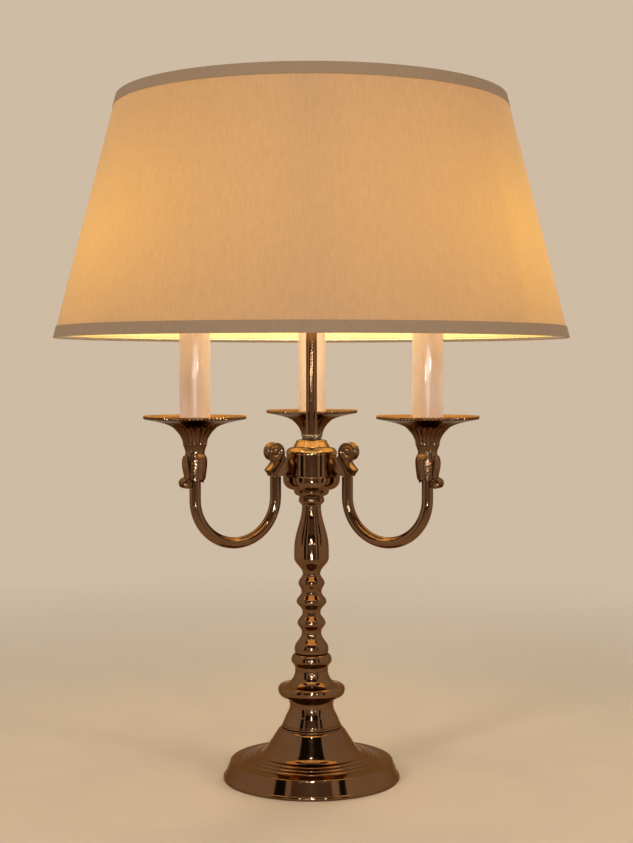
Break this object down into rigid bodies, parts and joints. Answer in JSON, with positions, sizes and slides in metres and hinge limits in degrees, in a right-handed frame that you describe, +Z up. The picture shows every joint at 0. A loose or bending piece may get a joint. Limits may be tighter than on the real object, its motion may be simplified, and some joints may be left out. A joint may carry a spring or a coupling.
{
  "type": "bouillotte lamp",
  "caption": "Candlestick table lamp with U-shaped arms around a turned column, ivory candle sleeves on drip pans, and a tapered fabric shade that slides on the centre rod.",
  "frame": {"origin": "on the table surface, on the lamp's axis, at the centre of the foot's underside", "axes": "+Z up along the centre rod, rear arm along +Y, the two front arms towards -Y at 30 degrees left and right of it"},
  "size_m": [0.4589, 0.459, 0.611],
  "materials": {
    "dark_bronze": "polished dark bronze plating",
    "weight_iron": "raw casting",
    "plated_steel": "zinc plated",
    "frame_wire": "cream enamel",
    "felt": "pressed felt",
    "bushing_plastic": "moulded",
    "lead_insulation": "smooth insulation",
    "connector_plastic": "moulded",
    "socket_ceramic": "glazed",
    "socket_brass": "rolled",
    "candle_ivory": "wax-like, translucent",
    "bulb_glass": "clear",
    "bulb_cap_metal": "rolled",
    "shade_liner": "cream laminate",
    "shade_fabric": "slubbed woven silk",
    "trim_tape": "folded tape"
  },
  "bodies": {
    "stand": {"felt_pad": "felt", "base_shell": "dark_bronze", "base_weight": "weight_iron", "cord_bushing": "bushing_plastic", "base_washer": "plated_steel", "rod_nuts": "plated_steel", "threaded_rod": "plated_steel", "column_foot": "dark_bronze", "column_knop": "dark_bronze", "column_ring": "dark_bronze", "column_cushion": "dark_bronze", "beaded_stem": "dark_bronze", "baluster": "dark_bronze", "hub_bowl": "dark_bronze", "hub_drum": "dark_bronze", "hub_cap": "dark_bronze", "rod_coupling": "plated_steel", "lock_ring": "dark_bronze", "bracket_screws": "plated_steel", "pan_nuts": "plated_steel", "socket_straps": "plated_steel", "socket_bodies": "socket_ceramic", "socket_shells": "socket_brass", "socket_contacts": "socket_brass", "arm_leads": "lead_insulation", "trunk_lead": "lead_insulation", "wire_connectors": "connector_plastic", "riser_rod": "dark_bronze", "scroll_bracket_rear": "dark_bronze", "scroll_bracket_left": "dark_bronze", "scroll_bracket_right": "dark_bronze", "arm_tube_rear": "dark_bronze", "arm_tube_left": "dark_bronze", "arm_tube_right": "dark_bronze", "candle_cup_rear": "dark_bronze", "candle_cup_left": "dark_bronze", "candle_cup_right": "dark_bronze", "drip_pan_rear": "dark_bronze", "drip_pan_left": "dark_bronze", "drip_pan_right": "dark_bronze", "candle_sleeve_rear": "candle_ivory", "candle_sleeve_left": "candle_ivory", "candle_sleeve_right": "candle_ivory"},
    "collar": {"shade_collar": "dark_bronze", "collar_nut": "dark_bronze"},
    "key": {"clamp_key": "dark_bronze"},
    "finial": {"finial": "dark_bronze"},
    "shade": {"shade_spider": "frame_wire", "shade_upper_ring": "frame_wire", "shade_lower_ring": "frame_wire", "shade_liner": "shade_liner", "shade_fabric": "shade_fabric", "shade_top_trim": "trim_tape", "shade_bottom_trim": "trim_tape"},
    "bulb_rear": {"bulb_glass_rear": "bulb_glass", "bulb_cap_rear": "bulb_cap_metal"},
    "bulb_left": {"bulb_glass_left": "bulb_glass", "bulb_cap_left": "bulb_cap_metal"},
    "bulb_right": {"bulb_glass_right": "bulb_glass", "bulb_cap_right": "bulb_cap_metal"}
  },
  "joints": [
    {"name": "collar_slide", "type": "slide", "parent": "stand", "child": "collar", "axis": [0, 0, 1], "range_m": [-0.055, 0.009]},
    {"name": "shade_swivel", "type": "hinge", "parent": "collar", "child": "shade", "pos_m": [0, 0, 0.573], "axis": [0, 0, 1], "continuous": true},
    {"name": "key_turn", "type": "hinge", "parent": "collar", "child": "key", "pos_m": [0, -0.016, 0.56035], "axis": [0, -1, 0], "range_deg": [-540, 0]},
    {"name": "finial_turn", "type": "hinge", "parent": "stand", "child": "finial", "pos_m": [0, 0, 0.598], "axis": [0, 0, 1], "range_deg": [0, 1800]},
    {"name": "bulb_turn_rear", "type": "hinge", "parent": "stand", "child": "bulb_rear", "pos_m": [0, 0.116, 0.42], "axis": [0, 0, 1], "range_deg": [0, 1440]},
    {"name": "bulb_turn_left", "type": "hinge", "parent": "stand", "child": "bulb_left", "pos_m": [-0.10046, -0.058, 0.42], "axis": [0, 0, 1], "range_deg": [0, 1440]},
    {"name": "bulb_turn_right", "type": "hinge", "parent": "stand", "child": "bulb_right", "pos_m": [0.10046, -0.058, 0.42], "axis": [0, 0, 1], "range_deg": [0, 1440]}
  ]
}
